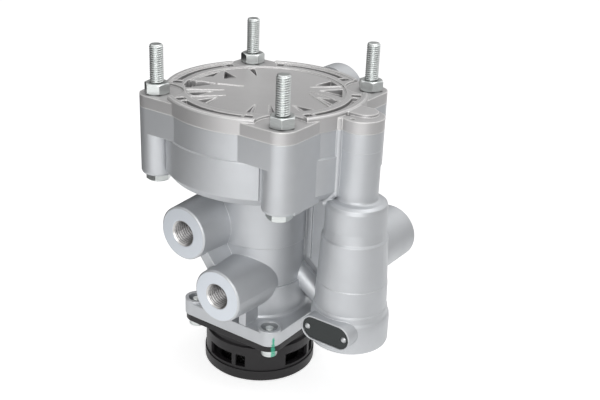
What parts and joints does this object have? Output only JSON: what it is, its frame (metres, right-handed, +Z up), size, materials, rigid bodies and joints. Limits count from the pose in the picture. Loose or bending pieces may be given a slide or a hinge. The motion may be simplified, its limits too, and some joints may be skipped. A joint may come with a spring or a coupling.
{
  "type": "trailer brake relay emergency valve",
  "caption": "Cast trailer brake relay valve with a ribbed cover on mounting studs, threaded air ports, a side piston column and an exhaust silencer.",
  "frame": {"origin": "centre of the mounting stud square, on the plane of the cover nuts' top faces where the bracket seats", "axes": "+Z up along the studs, -Y out of the two front ports, +X from the valve axis to the side column"},
  "size_m": [0.1488, 0.1319, 0.2041],
  "materials": {
    "cover_casting": "satin die casting",
    "body_casting": "satin die casting",
    "turned_aluminium": "turned",
    "brass_valve": "turned",
    "zinc_steel": "bright zinc plated",
    "spring_steel": "drawn wire",
    "black_rubber": "moulded",
    "black_plastic": "moulded matte",
    "knitted_wire": "knitted wire",
    "plate_black": "black lacquered plate, bare",
    "rivet_aluminium": "bright"
  },
  "bodies": {
    "body": {"upper_cover": "cover_casting", "valve_body": "body_casting", "cover_seal": "black_rubber", "valve_spring": "spring_steel", "valve_guide_insert": "turned_aluminium", "insert_seal": "black_rubber", "valve_tube_seal": "black_rubber", "insert_circlip": "spring_steel", "column_spring": "spring_steel", "column_plug": "turned_aluminium", "column_plug_seal": "black_rubber", "column_circlip": "spring_steel", "silencer_housing": "black_plastic", "silencer_lid": "black_plastic", "silencer_mesh": "knitted_wire", "nameplate": "plate_black", "nameplate_rivet_1": "rivet_aluminium", "nameplate_rivet_2": "rivet_aluminium", "cover_bolt_1": "zinc_steel", "cover_bolt_2": "zinc_steel", "cover_bolt_3": "zinc_steel", "cover_bolt_4": "zinc_steel", "cover_nut_1": "zinc_steel", "cover_nut_2": "zinc_steel", "cover_nut_3": "zinc_steel", "cover_nut_4": "zinc_steel", "silencer_screw_1": "zinc_steel", "silencer_screw_2": "zinc_steel", "silencer_screw_3": "zinc_steel", "silencer_screw_4": "zinc_steel"},
    "relay_piston_group": {"relay_piston": "turned_aluminium", "relay_piston_seal": "black_rubber", "piston_stem_seal": "black_rubber"},
    "inlet_valve_group": {"inlet_valve": "brass_valve", "inlet_valve_rubber": "black_rubber"},
    "column_piston_group": {"column_piston": "turned_aluminium", "column_piston_seal_1": "black_rubber", "column_piston_seal_2": "black_rubber"}
  },
  "joints": [
    {"name": "relay_piston_slide", "type": "slide", "parent": "body", "child": "relay_piston_group", "axis": [0, 0, 1], "range_m": [-0.003, 0]},
    {"name": "inlet_valve_slide", "type": "slide", "parent": "body", "child": "inlet_valve_group", "axis": [0, 0, 1], "range_m": [-0.003, 0], "stiffness_N_per_m": 1200, "springref_m": 0.008, "deforming": ["valve_spring"]},
    {"name": "column_piston_slide", "type": "slide", "parent": "body", "child": "column_piston_group", "axis": [0, 0, 1], "range_m": [-0.006, 0], "stiffness_N_per_m": 600, "springref_m": 0.008, "deforming": ["column_spring"]}
  ],
  "couplings": [
    {"joint": "inlet_valve_slide", "follows": "relay_piston_slide", "ratio": 1}
  ]
}
